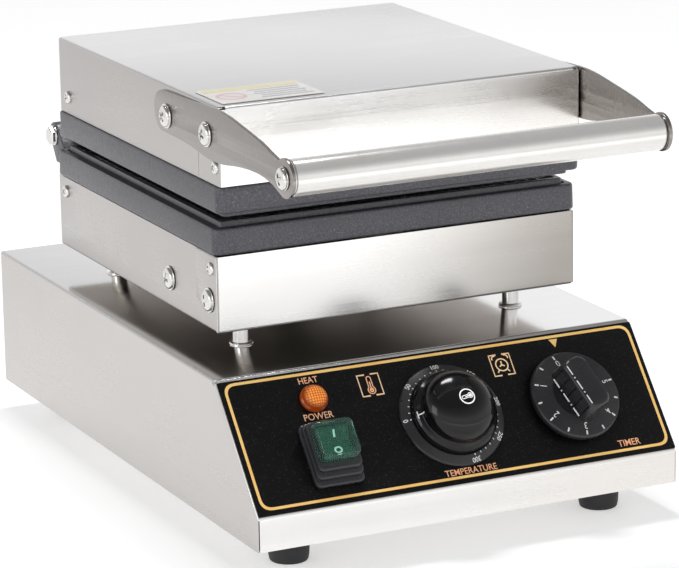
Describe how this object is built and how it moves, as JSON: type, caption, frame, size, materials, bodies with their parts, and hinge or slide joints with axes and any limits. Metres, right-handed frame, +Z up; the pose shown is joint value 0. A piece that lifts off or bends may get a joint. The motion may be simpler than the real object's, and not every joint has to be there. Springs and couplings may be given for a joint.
{
  "type": "waffle cone maker",
  "caption": "Bench-top electric waffle cone maker: hinged cast baking plates with a bar handle, on a low steel base with a sloped control panel.",
  "frame": {"origin": "floor level, below the middle of the box that encloses the closed machine", "axes": "+Z up, +Y from the control panel towards the hinge, +X to the right as the user faces the controls"},
  "size_m": [0.26, 0.4131, 0.2458],
  "materials": {
    "steel": "satin stainless sheet, folded, with a fine vertical grain",
    "polished_steel": "polished stainless steel",
    "plated_steel": "zinc-plated steel",
    "cast_plate": "cast metal with a charcoal non-stick coating",
    "black_plastic": "satin black moulded plastic",
    "control_film": "black printed film",
    "black_rubber": "black rubber",
    "amber_lens": "translucent amber plastic",
    "green_rocker": "translucent green plastic",
    "clear_boot": "clear flexible splash boot",
    "copper": "drawn copper capillary",
    "ceramic_fibre": "ceramic fibre blanket",
    "white_plastic": "white moulded plastic",
    "label_film": "printed paper label under clear film"
  },
  "bodies": {
    "base": {"base_housing": "steel", "bottom_plate": "steel", "cable_gland": "black_plastic", "conduit": "plated_steel", "conduit_fitting_base": "plated_steel", "control_label": "control_film", "foot_front_left": "black_rubber", "foot_front_right": "black_rubber", "foot_rear_left": "black_rubber", "foot_rear_right": "black_rubber", "hinge_bolt_left": "polished_steel", "hinge_bolt_right": "polished_steel", "hinge_nut_left": "plated_steel", "hinge_nut_right": "plated_steel", "lamp_body": "white_plastic", "lamp_lens": "amber_lens", "lower_clamp_plate": "plated_steel", "lower_heater": "plated_steel", "lower_insulation": "ceramic_fibre", "lower_pan": "steel", "lower_plate": "cast_plate", "pan_screw_front_left": "polished_steel", "pan_screw_front_right": "polished_steel", "pan_screw_rear_left": "polished_steel", "pan_screw_rear_right": "polished_steel", "rear_panel": "steel", "standoff_front_left": "polished_steel", "standoff_front_right": "polished_steel", "standoff_rear_left": "polished_steel", "standoff_rear_right": "polished_steel", "switch_body": "black_plastic", "switch_boot": "clear_boot", "terminal_block": "white_plastic", "thermostat_bezel": "black_plastic", "thermostat_body": "plated_steel", "thermostat_capillary": "copper", "timer_body": "plated_steel", "wiring_riser": "plated_steel"},
    "lid": {"upper_casing": "steel", "upper_plate": "cast_plate", "upper_heater": "plated_steel", "upper_clamp_plate": "plated_steel", "upper_insulation": "ceramic_fibre", "handle_bracket_left": "steel", "handle_bracket_right": "steel", "handle_tube": "polished_steel", "handle_screw_left": "polished_steel", "handle_screw_right": "polished_steel", "lid_label": "label_film", "conduit_fitting_lid": "plated_steel", "bracket_screw_front_left": "polished_steel", "bracket_screw_front_right": "polished_steel", "bracket_screw_rear_left": "polished_steel", "bracket_screw_rear_right": "polished_steel"},
    "rocker": {"power_rocker": "green_rocker"},
    "thermostat_dial": {"thermostat_shaft": "plated_steel", "thermostat_knob": "black_plastic"},
    "timer_dial": {"timer_shaft": "plated_steel", "timer_knob": "black_plastic"}
  },
  "joints": [
    {"name": "lid_hinge", "type": "hinge", "parent": "base", "child": "lid", "pos_m": [0, 0.1461, 0.1811], "axis": [-1, 0, 0], "range_deg": [0, 100], "deforming": ["conduit"]},
    {"name": "rocker_switch", "type": "hinge", "parent": "base", "child": "rocker", "pos_m": [-0.0775, -0.17205, 0.06307], "axis": [-1, 0, 0], "range_deg": [0, 16]},
    {"name": "thermostat_turn", "type": "hinge", "parent": "base", "child": "thermostat_dial", "pos_m": [0.0005, -0.16058, 0.06853], "axis": [0, 0.7617, -0.6479], "range_deg": [0, 260]},
    {"name": "timer_turn", "type": "hinge", "parent": "base", "child": "timer_dial", "pos_m": [0.0765, -0.16148, 0.06747], "axis": [0, 0.7617, -0.6479], "range_deg": [0, 282]}
  ]
}
